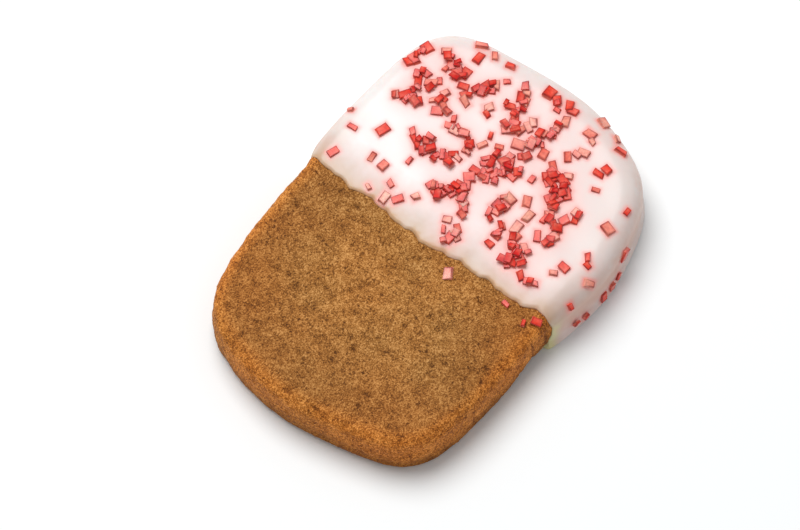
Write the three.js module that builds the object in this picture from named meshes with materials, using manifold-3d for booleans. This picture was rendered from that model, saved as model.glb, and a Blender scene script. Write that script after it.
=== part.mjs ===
// A glazed gingersnap: a rounded-rectangle spiced biscuit, half of it dipped in white glaze
// that carries coarse red sugar crystals. Millimetres, +Z up, standing on z = 0.
// +X runs along the biscuit into its glazed end, and the origin is the middle of the base.
import * as THREE from 'three';
import { mergeVertices } from 'three/addons/utils/BufferGeometryUtils.js';
import Module from 'manifold-3d';

// Driving dimensions of the biscuit
const HALF_LENGTH = 31.3;
const HALF_WIDTH = 22.95;
const CORNER_POWER = 5.5; // 2 makes the outline an oval, more makes it squarer
const THICKNESS = 8.1;
const TOP_ROUNDING = 2.2;
const BASE_ROUNDING = 1.0;
// The outline is uneven: [waves round it, cosine share, sine share] of its radius
const UNEVENNESS = [
  [1, -0.01, 0.013],
  [2, 0.017, 0.0012],
  [3, -0.011, 0.0034],
  [4, 0.0265, 0.0043],
  [5, 0.0016, 0.005],
  [6, 0.0143, -0.0058],
  [7, -0.001, -0.0038],
  [8, 0, -0.005],
];

// Driving dimensions of the glaze
const GLAZE_SIDE = [0.55, 1.0]; // how far it stands out from the side, at its front and beyond
const GLAZE_FULL_X = 14; // where it has its full thickness
const GLAZE_TOP = 1.1; // how far it stands above the biscuit's top
const GLAZE_UNDER = 1.0; // how far the biscuit's dipped half is raised to make room below it
const GLAZE_FOOT = 0.35; // how far the drained rim at the base bulges past the side
const SHOULDER_WIDTH = 3.0;
const SHOULDER_HEIGHT = 3.4;
const FRONT_X = 0.6; // mean place of the edge of the glaze on the biscuit
const FRONT_LEAN = 1.6; // how much further it has run at the base than at the top
const FRONT_SLOPE = 0.4; // the bank at that edge is this much narrower than the shoulder
const FRONT_CORNER = 1.2; // rounding where the front meets the sides
const UNDER_RAMP = [-11, -3]; // the underside rises between these places along X

const WALL_BULGE = 0.15; // how far the middle of the wall stands out
const GLAZED_HEIGHT = THICKNESS + GLAZE_TOP;
const GAP = 0.3; // clearance between the glaze and the biscuit
const REFERENCE_RADIUS = 25; // radius of a lathed blank before it is pulled to its outline
const RIM = 7; // width of the band that keeps its distance from the outline when pulled

// Driving dimensions of the sugar crystals
const CRYSTAL_LENGTH = [1.2, 2.25];
const CRYSTAL_ASPECT = [0.5, 0.85];
const CRYSTAL_THICKNESS = [0.4, 0.65];
const CRYSTAL_SUNK = 0.3; // share of the thickness that lies under the surface
const CRYSTAL_TILT = 0.2; // largest tilt, in radians
const CRYSTAL_CHIP = 0.4; // largest share that a corner is drawn in by, though most are far less
const CRYSTAL_SPACING = 0.85; // least distance between two centres
const CRYSTAL_SLACK = [0.2, 0.8]; // where it can lie in its share of a row
const EDGE_MARGIN = 0.75; // least distance from the edge of the glazed top

// Where the scattered crystals lie in short rows: [x1, y1, x2, y2, spread, count]
const ROWS = [
  [11.4, 13.0, 12.4, 4.6, 1.2, 12], [15.6, 19.0, 17.5, 15.3, 0.7, 7], [18.1, 17.7, 21.8, 17.3, 0.3, 3],
  [20.7, 20.8, 25.2, 20.1, 0.5, 5], [20.3, 16.2, 22.4, 14.3, 0.3, 3], [17.0, 12.3, 20.6, 13.8, 1.1, 5],
  [26.3, 17.7, 24.4, 12.8, 0.5, 7], [23.3, 12.2, 20.5, 9.3, 0.4, 6], [23.0, 10.0, 28.6, 6.3, 0.5, 8],
  [17.2, 9.9, 16.6, 6.1, 0.9, 7], [6.4, 5.3, 8.7, 1.9, 0.9, 8], [8.6, 1.1, 19.0, 1.2, 0.6, 15],
  [5.8, -0.8, 8.3, 0.1, 0.4, 3], [1.5, -2.3, 4.9, -1.0, 1.6, 5], [14.3, 4.8, 19.6, 3.8, 0.8, 4],
  [21.2, 6.0, 23.7, 7.4, 0.3, 3], [21.1, 1.6, 28.9, 3.9, 0.7, 12], [22.3, 0.6, 25.8, -0.3, 0.4, 6],
  [14.4, -2.3, 19.3, -2.3, 1.6, 13], [20.2, -0.6, 22.9, -3.7, 0.4, 7], [24.3, -3.4, 27.2, -3.0, 0.8, 5],
  [30.3, 1.4, 29.0, -4.5, 1.1, 8], [8.8, -4.9, 13.0, -4.8, 0.8, 8], [4.5, -7.8, 8.9, -7.0, 0.4, 5],
  [17.9, -8.3, 21.3, -7.0, 0.4, 5], [23.1, -7.4, 25.9, -9.4, 0.2, 4], [28.7, -7.6, 27.3, -10.1, 0.2, 3],
  [3.7, -11.7, 9.9, -9.3, 0.8, 11], [5.0, -12.6, 8.2, -12.0, 0.4, 3], [14.0, -10.5, 21.3, -10.6, 1.2, 15],
  [10.2, -14.4, 18.3, -14.3, 0.7, 10], [23.9, -12.6, 25.6, -14.2, 0.3, 3],
  [3.6, -13.9, 4.4, -16.7, 0.6, 3], [11.0, -21.2, 13.2, -19.4, 0.2, 3],
];

// Crystals that lie apart on the glazed top: [x, y]
const STRAYS = [
  [2.6, 20.4], [7.5, 20.6], [9.8, 22.8], [9.9, 16.8], [5.4, 15.2], [5.3, 13.0], [1.4, 12.7],
  [3.6, 10.3], [1.4, 9.7], [2.4, 7.9], [4.2, 5.9], [8.4, 10.4], [23.8, 15.7], [28.3, 13.0],
  [30.4, 14.0], [30.1, 11.3], [30.3, 8.4], [13.2, -0.4], [24.9, 4.2], [21.7, -4.6], [17.3, -5.9],
  [13.8, -7.6], [31.6, -8.2], [12.0, -9.3], [10.4, -12.3], [13.2, -11.5], [21.8, -14.4],
  [29.4, -13.2], [30.8, -11.4], [7.0, -18.0], [8.7, -18.6], [17.9, -19.8], [22.0, -20.2],
  [4.9, -22.9], [9.4, -23.0],
];

// Crystals on the glaze's side: [direction from the origin in degrees, height]
const SIDE_CRYSTALS = [[-77.5, 2.5], [-73, 1.7], [-64.3, 1.8], [-60, 1.6], [-56.5, 1.7], [-53, 5.2]];

// Crystals that fell on the bare biscuit: [x, y]
const BARE_CRYSTALS = [[-2.3, -5.4], [-0.9, -15.3], [-1.8, -19.3], [-0.4, -20.7]];

const SEED = 2417;
const BISCUIT_SEGMENTS = 60;
const GLAZE_SEGMENTS = 80;

const wasm = await Module();
wasm.setup();

// A repeatable draw between 0 and 1.
function makeDraw(seed) {
  let state = seed;
  return () => {
    state = (state * 16807) % 2147483647;
    return state / 2147483647;
  };
}

const between = ([low, high], share) => low + (high - low) * share;
const softMin = (a, b, rounding) => (a + b - Math.hypot(a - b, rounding)) / 2;

// The biscuit's outline: its distance from the origin in a direction.
function outline(angle) {
  const long = Math.abs(Math.cos(angle)) / HALF_LENGTH;
  const wide = Math.abs(Math.sin(angle)) / HALF_WIDTH;
  const even = (long ** CORNER_POWER + wide ** CORNER_POWER) ** (-1 / CORNER_POWER);
  const waves = UNEVENNESS.map(([n, c, s]) => c * Math.cos(n * angle) + s * Math.sin(n * angle));
  return even * waves.reduce((sum, wave) => sum + wave, 1);
}

// Where the glaze ends along X: a wavy line across the biscuit that leans out down the sides.
function front(y, z) {
  const wave = -0.8 * Math.sin(1.87 - 0.092 * y) - 0.3 * Math.sin(0.375 * y + 1.05);
  return FRONT_X + wave - FRONT_LEAN * (1 - z / GLAZED_HEIGHT);
}

// How far a point lies inside the biscuit's outline, grown by some amount.
function insideBiscuit(x, y, grown) {
  return outline(Math.atan2(y, x)) + grown - Math.hypot(x, y);
}

// How thick the glaze is on the side, which thins out towards its front.
function glazeSide(x) {
  return between(GLAZE_SIDE, THREE.MathUtils.smoothstep(x, 0, GLAZE_FULL_X));
}

// How far a point lies inside the glazed half, counting the front as a narrow bank.
function insideGlaze(x, y, z) {
  const fromFront = (x - front(y, z)) / FRONT_SLOPE;
  return softMin(insideBiscuit(x, y, glazeSide(x)), fromFront, FRONT_CORNER);
}

// The gentle ups and downs of the baked top, which level out under the glaze.
function bakedRelief(x, y) {
  const broad = Math.sin(0.21 * x + 0.6) * Math.cos(0.27 * y - 0.4);
  const small = Math.sin(0.55 * x - 0.31 * y) + Math.sin(0.47 * y + 0.38 * x + 1.3);
  const bare = 1 - THREE.MathUtils.smoothstep(x, -2, 4);
  return bare * (0.12 * broad + 0.06 * small);
}

// The height of the glaze's top over a point: an elliptical shoulder that runs into the level.
function glazeTop(x, y) {
  const inside = insideGlaze(x, y, GLAZED_HEIGHT);
  const share = Math.min(Math.max(inside / SHOULDER_WIDTH, 0), 1);
  return GLAZED_HEIGHT - SHOULDER_HEIGHT * (1 - Math.sqrt(1 - (1 - share) ** 2));
}

// The height of the biscuit's top over a point.
function biscuitTop(x, y, grown) {
  const inside = insideBiscuit(x, y, grown);
  const rounding = TOP_ROUNDING + grown;
  const share = Math.min(Math.max(inside / rounding, 0), 1);
  const edge = rounding * (Math.sqrt(1 - (1 - share) ** 2) - 1);
  return THICKNESS + grown + edge + share * bakedRelief(x, y);
}

// Points along a quarter ellipse about (x, z), from one angle to another in degrees.
function arc(x, z, radiusX, radiusZ, from, to, steps) {
  return Array.from({ length: steps + 1 }, (_, i) => {
    const angle = THREE.MathUtils.degToRad(from + ((to - from) * i) / steps);
    return new THREE.Vector2(x + radiusX * Math.cos(angle), z + radiusZ * Math.sin(angle));
  });
}

// A lathed blank, turned to stand on Z.
function blank(profile, segments) {
  const geometry = new THREE.LatheGeometry(profile, segments);
  return geometry.rotateX(Math.PI / 2);
}

// The distance from a centre at which a field has fallen to a value, at a height.
function reach(field, centre, direction, z, value) {
  let near = 0;
  let far = 80;
  for (let i = 0; i < 36; i++) {
    const middle = (near + far) / 2;
    const inside = field(centre.x + middle * direction.x, centre.y + middle * direction.y, z);
    if (inside > value) near = middle;
    else far = middle;
  }
  return near;
}

// Pulls a round blank out to the outline of a field about a centre. A vertex in the rim keeps
// its distance from the edge, and further in the rings shrink evenly.
function pull(geometry, field, centre) {
  const position = geometry.getAttribute('position');
  for (let i = 0; i < position.count; i++) {
    const direction = new THREE.Vector2(position.getX(i), position.getY(i));
    const radius = direction.length();
    direction.normalize();
    const inside = Math.min(REFERENCE_RADIUS - radius, RIM);
    const shrink = Math.min(radius / (REFERENCE_RADIUS - RIM), 1);
    const distance = shrink * reach(field, centre, direction, position.getZ(i), inside);
    position.setXY(i, centre.x + distance * direction.x, centre.y + distance * direction.y);
  }
  return geometry;
}

// Sets the height of each vertex from its place.
function lift(geometry, heightAt) {
  const position = geometry.getAttribute('position');
  for (let i = 0; i < position.count; i++) {
    position.setZ(i, heightAt(position.getX(i), position.getY(i), position.getZ(i)));
  }
  return geometry;
}

const ringsAt = (radii, z) => radii.map((radius) => new THREE.Vector2(radius, z));

// The biscuit, grown on all sides by an amount, so that it can also cut its place in the glaze.
function biscuitGeometry(grown) {
  const radius = REFERENCE_RADIUS + grown;
  const base = BASE_ROUNDING + grown;
  const top = TOP_ROUNDING + grown;
  const high = THICKNESS + grown;
  const profile = [
    ...ringsAt([0, 6, 11, 15.5, 20], -grown),
    ...arc(radius - base, base - grown, base, base, -90, 0, 2),
    new THREE.Vector2(radius + WALL_BULGE, THICKNESS * 0.42),
    ...arc(radius - top, high - top, top, top, 0, 90, 4),
    ...ringsAt([20, 17.5, 15, 12.5, 10, 7.5, 5, 2.5, 0], high),
  ];
  const geometry = blank(profile, BISCUIT_SEGMENTS);
  pull(geometry, (x, y) => insideBiscuit(x, y, 0), new THREE.Vector2(0, 0));
  return lift(geometry, (x, y, z) => {
    if (z > high - top) return biscuitTop(x, y, grown);
    const raised = GLAZE_UNDER * THREE.MathUtils.smoothstep(x, ...UNDER_RAMP);
    return z + raised * (1 - z / (high - top));
  });
}

// The glaze as a full slab round the dipped half, before the biscuit's place is cut from it.
function glazeGeometry() {
  const shoulderBase = GLAZED_HEIGHT - SHOULDER_HEIGHT;
  const footRadius = 0.6;
  const shoulderX = REFERENCE_RADIUS - SHOULDER_WIDTH;
  const profile = [
    new THREE.Vector2(0, 0),
    ...arc(REFERENCE_RADIUS + GLAZE_FOOT - footRadius, footRadius, footRadius, footRadius, -90, 30, 2),
    new THREE.Vector2(REFERENCE_RADIUS, 2.4),
    ...arc(shoulderX, shoulderBase, SHOULDER_WIDTH, SHOULDER_HEIGHT, 0, 90, 5),
    new THREE.Vector2(0, GLAZED_HEIGHT),
  ];
  const geometry = blank(profile, GLAZE_SEGMENTS);
  return pull(geometry, insideGlaze, new THREE.Vector2(HALF_LENGTH / 2, 0));
}

// A closed geometry as a solid that can be joined and cut.
function toSolid(geometry) {
  const bare = geometry.clone();
  bare.deleteAttribute('normal');
  bare.deleteAttribute('uv');
  const merged = mergeVertices(bare, 1e-4);
  const corners = merged.index.array;
  const triVerts = [];
  for (let i = 0; i < corners.length; i += 3) {
    const [a, b, c] = corners.slice(i, i + 3);
    if (a !== b && b !== c && c !== a) triVerts.push(a, b, c);
  }
  const vertProperties = merged.getAttribute('position').array;
  const mesh = new wasm.Mesh({ numProp: 3, vertProperties, triVerts: new Uint32Array(triVerts) });
  return new wasm.Manifold(mesh);
}

// The outer skin of the largest body, without scraps and sealed hollows, as a geometry.
function toGeometry(solid) {
  const bodies = solid.decompose().sort((a, b) => b.volume() - a.volume());
  const mesh = bodies[0].getMesh();
  const geometry = new THREE.BufferGeometry();
  geometry.setAttribute('position', new THREE.BufferAttribute(mesh.vertProperties, 3));
  geometry.setIndex(new THREE.BufferAttribute(mesh.triVerts, 1));
  const flat = geometry.toNonIndexed();
  flat.computeVertexNormals();
  return flat;
}

// The places of the crystals on the glazed top: the strays, then each row in turn.
function topPlaces(draw) {
  const places = STRAYS.map(([x, y]) => new THREE.Vector2(x, y));
  for (const [x1, y1, x2, y2, spread, count] of ROWS) {
    const start = new THREE.Vector2(x1, y1);
    const run = new THREE.Vector2(x2 - x1, y2 - y1);
    const across = new THREE.Vector2(-run.y, run.x).normalize();
    for (let i = 0; i < count; i++) {
      const place = start.clone().addScaledVector(run, (i + between(CRYSTAL_SLACK, draw())) / count);
      place.addScaledVector(across, spread * (2 * draw() - 1));
      const free = places.every((other) => other.distanceTo(place) > CRYSTAL_SPACING);
      if (free && insideGlaze(place.x, place.y, GLAZED_HEIGHT) > EDGE_MARGIN) places.push(place);
    }
  }
  return places;
}

// A seat is a point of a surface with the direction that faces out there.
function seatOnTop(topAt, x, y) {
  const step = 0.2;
  const slopeX = (topAt(x + step, y) - topAt(x - step, y)) / (2 * step);
  const slopeY = (topAt(x, y + step) - topAt(x, y - step)) / (2 * step);
  const normal = new THREE.Vector3(-slopeX, -slopeY, 1).normalize();
  return { point: new THREE.Vector3(x, y, topAt(x, y)), normal };
}

function seatOnSide(degrees, z) {
  const angle = THREE.MathUtils.degToRad(degrees);
  const step = 0.02;
  const at = (turn) => {
    const radius = outline(angle + turn) + GLAZE_SIDE[1];
    return new THREE.Vector3(radius * Math.cos(angle + turn), radius * Math.sin(angle + turn), z);
  };
  const along = at(step).sub(at(-step));
  return { point: at(0), normal: new THREE.Vector3(along.y, -along.x, 0).normalize() };
}

// One coarse crystal: a rectangular tablet with uneven corners, sunk a little into its seat.
function crystalSolid(draw, { point, normal }) {
  const length = between(CRYSTAL_LENGTH, draw());
  const width = length * between(CRYSTAL_ASPECT, draw());
  const thickness = between(CRYSTAL_THICKNESS, draw());
  const turn = Math.PI * draw();
  const tilt = new THREE.Euler(CRYSTAL_TILT * (2 * draw() - 1), CRYSTAL_TILT * (2 * draw() - 1), turn);
  const chips = Array.from({ length: 8 }, () => 1 - CRYSTAL_CHIP * draw() ** 3);
  const geometry = new THREE.BoxGeometry(length, width, thickness);
  const position = geometry.getAttribute('position');
  for (let i = 0; i < position.count; i++) {
    const [x, y, z] = [position.getX(i), position.getY(i), position.getZ(i)];
    const chip = chips[(x > 0) + 2 * (y > 0) + 4 * (z > 0)];
    position.setXYZ(i, x * chip, y * chip, z);
  }
  const toNormal = new THREE.Quaternion().setFromUnitVectors(new THREE.Vector3(0, 0, 1), normal);
  geometry.applyQuaternion(toNormal.multiply(new THREE.Quaternion().setFromEuler(tilt)));
  const centre = point.clone().addScaledVector(normal, thickness * (0.5 - CRYSTAL_SUNK));
  return toSolid(geometry.translate(centre.x, centre.y, centre.z));
}

const draw = makeDraw(SEED);
const glazeSeats = [
  ...topPlaces(draw).map(({ x, y }) => seatOnTop(glazeTop, x, y)),
  ...SIDE_CRYSTALS.map(([degrees, z]) => seatOnSide(degrees, z)),
];
const bareSeats = BARE_CRYSTALS.map(([x, y]) => seatOnTop((u, v) => biscuitTop(u, v, 0), x, y));

const fuse = (solid, seats) => seats.reduce((sum, seat) => sum.add(crystalSolid(draw, seat)), solid);

const coating = toSolid(glazeGeometry()).subtract(toSolid(biscuitGeometry(GAP)));
const glazeSolid = fuse(coating, glazeSeats);
const biscuitSolid = fuse(toSolid(biscuitGeometry(0)), bareSeats);

function subPart(name, solid, finish) {
  const mesh = new THREE.Mesh(toGeometry(solid), new THREE.MeshStandardMaterial(finish));
  mesh.name = name;
  return mesh;
}

const group = new THREE.Group();
group.add(
  subPart('biscuit', biscuitSolid, { color: 0xaa733c, roughness: 0.85, metalness: 0 }),
  subPart('glaze', glazeSolid, { color: 0xfbf4f0, roughness: 0.25, metalness: 0 }),
);

export default group;
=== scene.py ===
"""A glazed gingersnap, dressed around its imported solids: the baked biscuit with its sandy crumb,
the white glaze over its dipped half, and the coarse red sugar crystals that lie on it."""

import math
import random

import bmesh
import bpy
import numpy as np
from bpy.props import FloatProperty, FloatVectorProperty, IntProperty, PointerProperty
from mathutils import Matrix, Vector, noise


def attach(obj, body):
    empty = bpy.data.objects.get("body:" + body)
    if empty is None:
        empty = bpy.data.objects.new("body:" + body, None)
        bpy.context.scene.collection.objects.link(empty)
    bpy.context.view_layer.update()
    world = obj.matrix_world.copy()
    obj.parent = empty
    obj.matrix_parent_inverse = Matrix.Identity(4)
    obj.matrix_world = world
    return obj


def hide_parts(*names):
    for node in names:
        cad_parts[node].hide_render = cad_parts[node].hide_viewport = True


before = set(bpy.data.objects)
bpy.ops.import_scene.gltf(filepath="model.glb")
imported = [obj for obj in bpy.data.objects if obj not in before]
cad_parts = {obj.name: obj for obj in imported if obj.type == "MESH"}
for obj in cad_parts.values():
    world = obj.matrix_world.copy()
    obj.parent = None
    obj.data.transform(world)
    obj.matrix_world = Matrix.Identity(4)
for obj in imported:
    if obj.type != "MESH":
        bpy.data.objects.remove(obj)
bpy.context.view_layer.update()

bl_info = {
    "name": "Glazed gingersnap",
    "version": (1, 0, 0),
    "blender": (4, 5, 0),
    "location": "3D View > Sidebar > Gingersnap",
    "description": "Builds a glazed gingersnap with sugar crystals, and its studio",
    "category": "Add Mesh",
}

MM = 0.001  # the shapes are worked out in millimetres and end in metres

# The biscuit's outline is uneven: (waves round it, cosine share, sine share) of its radius.
# These shares are the rounded result of a least-squares fit to the outline in the photo.
UNEVENNESS = (
    (1, -0.01, 0.013),
    (2, 0.017, 0.0012),
    (3, -0.011, 0.0034),
    (4, 0.0265, 0.0043),
    (5, 0.0016, 0.005),
    (6, 0.0143, -0.0058),
    (7, -0.001, -0.0038),
    (8, 0.0, -0.005),
)
WALL_BULGE = 0.15  # how far the middle of the wall stands out
BULGE_HEIGHT = 0.42  # where that middle is, as a share of the thickness
UNDER_RISE = 1.0  # how far the underside of the dipped half is raised to make room for glaze
UNDER_RAMP = (-11.0, -3.0)  # the underside rises between these places along X
REFERENCE_RADIUS = 25.0  # radius of a lathed blank before it is pulled to its outline
RIM = 7.0  # width of the band that keeps its distance from the outline when pulled
BEYOND_OUTLINE = 80.0  # farther from the middle than any point of an outline
PULL_STEPS = 30  # how often the stretch in which a pulled point lies is halved
HIDDEN_BEHIND = 2.2  # this far behind the front the crumb is hidden by the glaze
HIDDEN_BELOW = 0.25  # and below this height by the floor
KEPT_TRIANGLES = 0.45  # share of the crumb's triangles that is kept, mostly the visible ones

# The crumb's grains: (share of their height, width, offset of the noise)
GRAINS = ((0.9, 0.62, 11.3), (0.6, 0.36, 27.1))
# The coarser relief of the biscuit's side: (height, width, offset of the noise)
SIDE_RELIEF = ((0.16, 3.4, 41.0), (0.1, 1.2, 3.7))
LUMP_WIDTH = 1.7
LUMP_HEIGHT = 0.07
PIT_SEED = 613
PIT_COUNT = 130
PIT_REACH = ((-33, 0), (-23, 23))  # the pits lie between these places along X and Y
PIT_RADIUS = (0.2, 0.5)
PIT_DEPTH = 0.2

FULL_SIDE_X = 14  # where the glaze has its full thickness on the side
PACKED_FRONT_SLOPE = 0.4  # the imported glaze's bank is this much narrower than its shoulder
PACKED_FRONT_CORNER = 1.2  # rounding where its front meets the sides
FRONT_SLOPE = 0.6  # the same two for the thinner front that is made here
FRONT_CORNER = 0.8
SKIN_AT_FRONT = 0.22  # thickness on the side right at the front
SKIN_RUN = 3  # how far behind the front it has grown to its thickness near the front
STEP_SHARE = 0.26  # share of the height that the glaze gains in a short step at its front
STEP_WIDTH = 0.7
BANK_START = -0.9  # where the long bank behind that step starts, measured from the front
DRAINED_RIM = 0.6  # radius of the rounded rim at the base
WALL_START = 1.6  # height of the lowest of the even rows of points up the glaze's wall
WALL_STEP = 0.42
WALL_ROWS = 10
GLAZE_OVERLAP = 0.15  # how far the glaze reaches into the biscuit

# The scalloped front of the glaze: (height, turns for each millimetre across, start)
SCALLOPS = ((0.17, 0.83, 0.4), (0.15, 1.37, 2.2), (0.1, 2.3, 0.9), (0.04, 4.1, 1.7))
SCALLOP_LEAN = 0.7  # how far the scallops move across for each millimetre of height
# Low mounds where the glaze gathered behind its front: (x, y, radius, height)
MOUNDS = (
    (2.9, -9.2, 1.6, 0.1),
    (2.7, -12.2, 1.4, 0.12),
    (3.2, -14.8, 1.5, 0.1),
    (2.3, -5.4, 1.2, 0.06),
    (2.5, 4.0, 1.7, 0.06),
    (2.9, 11.6, 1.6, 0.06),
)

# How far behind its front the glaze is fringe, cream, blush and white
TINT_DEPTHS = (0.0, 0.6, 3.2, 6.4)
# How the halo of a crystal fades, close by and far off: (share, width, power)
HALO = ((0.84, 0.33, 1.5), (0.055, 2.2, 2))
HALO_REACH = 5

# Where the scattered crystals lie in short rows: (x1, y1, x2, y2, spread, count)
ROWS = (
    (11.4, 13.0, 12.4, 4.6, 1.2, 12), (15.6, 19.0, 17.5, 15.3, 0.7, 7), (18.1, 17.7, 21.8, 17.3, 0.3, 3),
    (20.7, 20.8, 25.2, 20.1, 0.5, 5), (20.3, 16.2, 22.4, 14.3, 0.3, 3), (17.0, 12.3, 20.6, 13.8, 1.1, 5),
    (26.3, 17.7, 24.4, 12.8, 0.5, 7), (23.3, 12.2, 20.5, 9.3, 0.4, 6), (23.0, 10.0, 28.6, 6.3, 0.5, 8),
    (17.2, 9.9, 16.6, 6.1, 0.9, 7), (6.4, 5.3, 8.7, 1.9, 0.9, 8), (8.6, 1.1, 19.0, 1.2, 0.6, 15),
    (5.8, -0.8, 8.3, 0.1, 0.4, 3), (1.5, -2.3, 4.9, -1.0, 1.6, 5), (14.3, 4.8, 19.6, 3.8, 0.8, 4),
    (21.2, 6.0, 23.7, 7.4, 0.3, 3), (21.1, 1.6, 28.9, 3.9, 0.7, 12), (22.3, 0.6, 25.8, -0.3, 0.4, 6),
    (14.4, -2.3, 19.3, -2.3, 1.6, 13), (20.2, -0.6, 22.9, -3.7, 0.4, 7), (24.3, -3.4, 27.2, -3.0, 0.8, 5),
    (30.3, 1.4, 29.0, -4.5, 1.1, 8), (8.8, -4.9, 13.0, -4.8, 0.8, 8), (4.5, -7.8, 8.9, -7.0, 0.4, 5),
    (17.9, -8.3, 21.3, -7.0, 0.4, 5), (23.1, -7.4, 25.9, -9.4, 0.2, 4), (28.7, -7.6, 27.3, -10.1, 0.2, 3),
    (3.7, -11.7, 9.9, -9.3, 0.8, 11), (5.0, -12.6, 8.2, -12.0, 0.4, 3), (14.0, -10.5, 21.3, -10.6, 1.2, 15),
    (10.2, -14.4, 18.3, -14.3, 0.7, 10), (23.9, -12.6, 25.6, -14.2, 0.3, 3),
    (3.6, -13.9, 4.4, -16.7, 0.6, 3), (11.0, -21.2, 13.2, -19.4, 0.2, 3),
)

# Crystals that lie apart on the glazed top: (x, y)
STRAYS = (
    (2.6, 20.4), (7.5, 20.6), (9.8, 22.8), (9.9, 16.8), (5.4, 15.2), (5.3, 13.0), (1.4, 12.7),
    (3.6, 10.3), (1.4, 9.7), (2.4, 7.9), (4.2, 5.9), (8.4, 10.4), (23.8, 15.7), (28.3, 13.0),
    (30.4, 14.0), (30.1, 11.3), (30.3, 8.4), (13.2, -0.4), (24.9, 4.2), (21.7, -4.6), (17.3, -5.9),
    (13.8, -7.6), (31.6, -8.2), (12.0, -9.3), (10.4, -12.3), (13.2, -11.5), (21.8, -14.4),
    (29.4, -13.2), (30.8, -11.4), (7.0, -18.0), (8.7, -18.6), (17.9, -19.8), (22.0, -20.2),
    (4.9, -22.9), (9.4, -23.0),
)
# Crystals on the glaze's side: (direction from the origin in degrees, height)
SIDE_CRYSTALS = ((-77.5, 2.5), (-73, 1.7), (-64.3, 1.8), (-60, 1.6), (-56.5, 1.7), (-53, 5.2))
# Crystals that fell on the bare biscuit: (x, y)
BARE_CRYSTALS = ((-2.3, -5.4), (-0.9, -15.3), (-1.8, -19.3), (-0.4, -20.7))
SUGAR_SEED = 2417
CRYSTAL_SPACING = 0.85  # least distance between two centres
CRYSTAL_SLACK = (0.2, 0.8)  # where a crystal can lie in its share of a row
CRYSTAL_ASPECT = (0.5, 0.85)
CRYSTAL_THICKNESS = (0.4, 0.65)
CRYSTAL_RISE = 0.2  # share of its thickness that a crystal's centre lies above the surface
EDGE_MARGIN = 0.75  # least distance from the edge of the glazed top
CRYSTAL_TILT = 0.2  # largest tilt, in radians
CRYSTAL_CHIP = 0.4  # largest share that a corner is drawn in by, though most are far less

CROWD_RADIUS = 1.9  # a crystal counts the others whose centres lie this near
FULL_CROWD = 5  # with this many it looks fully crowded
COLOUR_SEED = 5
STACK_SEED = 88
STACK_CROWD = 2  # a crystal with this many others can carry one more
STACK_ASIDE = 0.85  # how far from the middle of the lower crystal the upper one can lie
STACK_RISE = 0.55  # share of the lower one's thickness that it lies above its centre
STACK_LEAN = 0.3
STACK_SCALE = 0.82  # its size beside that of the others

FLOOR_REACH = 1.5  # these three are in metres
FLOOR_DROP = 0.00003
KEY_PLACE = (0.15, 0.42, 0.95)


def length_property(name, description, default):
    """A size in metres, for the sidebar."""
    return FloatProperty(name=name, description=description, default=default, unit="LENGTH", precision=5)


def angle_property(name, description, degrees):
    """An angle, for the sidebar."""
    return FloatProperty(name=name, description=description, default=math.radians(degrees), unit="ROTATION")


def colour_property(name, description, default):
    """A linear colour, for the sidebar."""
    return FloatVectorProperty(name=name, description=description, default=default, subtype="COLOR", size=3)


class BiscuitSettings(bpy.types.PropertyGroup):
    """Sizes and colours of the baked biscuit."""

    half_length: length_property("Half length", "Half the biscuit's length", 0.0313)
    half_width: length_property("Half width", "Half the biscuit's width", 0.02295)
    thickness: length_property("Thickness", "Height of the bare biscuit", 0.0081)
    corner_power: FloatProperty(
        name="Squareness", description="2 makes the outline an oval, more makes it squarer", default=5.5
    )
    top_rounding: length_property("Top rounding", "Rounding of the upper edge", 0.0022)
    base_rounding: length_property("Base rounding", "Rounding of the lower edge", 0.001)
    mesh_spacing: length_property("Mesh spacing", "Distance between the points of the crumb", 0.000185)
    grain_height: length_property("Grain height", "How far the grains of the crumb stand out", 0.00009)
    dark_crumb: colour_property("Dark crumb", "Colour deep between the grains", (0.1, 0.032, 0.003))
    crumb: colour_property("Crumb", "Main colour of the crumb", (0.38, 0.154, 0.028))
    light_crumb: colour_property("Light crumb", "Colour of the palest grains", (0.74, 0.39, 0.13))
    ring_tint: colour_property("Ring tint", "Multiplies the colour towards the edge", (0.86, 0.76, 0.63))
    edge_tint: colour_property("Edge tint", "Multiplies it at the baked edge itself", (1.58, 1.42, 1.15))
    # The foot tint is painted shade: it darkens the crumb near the floor.
    foot_shade_tint: colour_property("Foot tint", "Multiplies it near the floor", (0.6, 0.6, 0.48))


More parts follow.
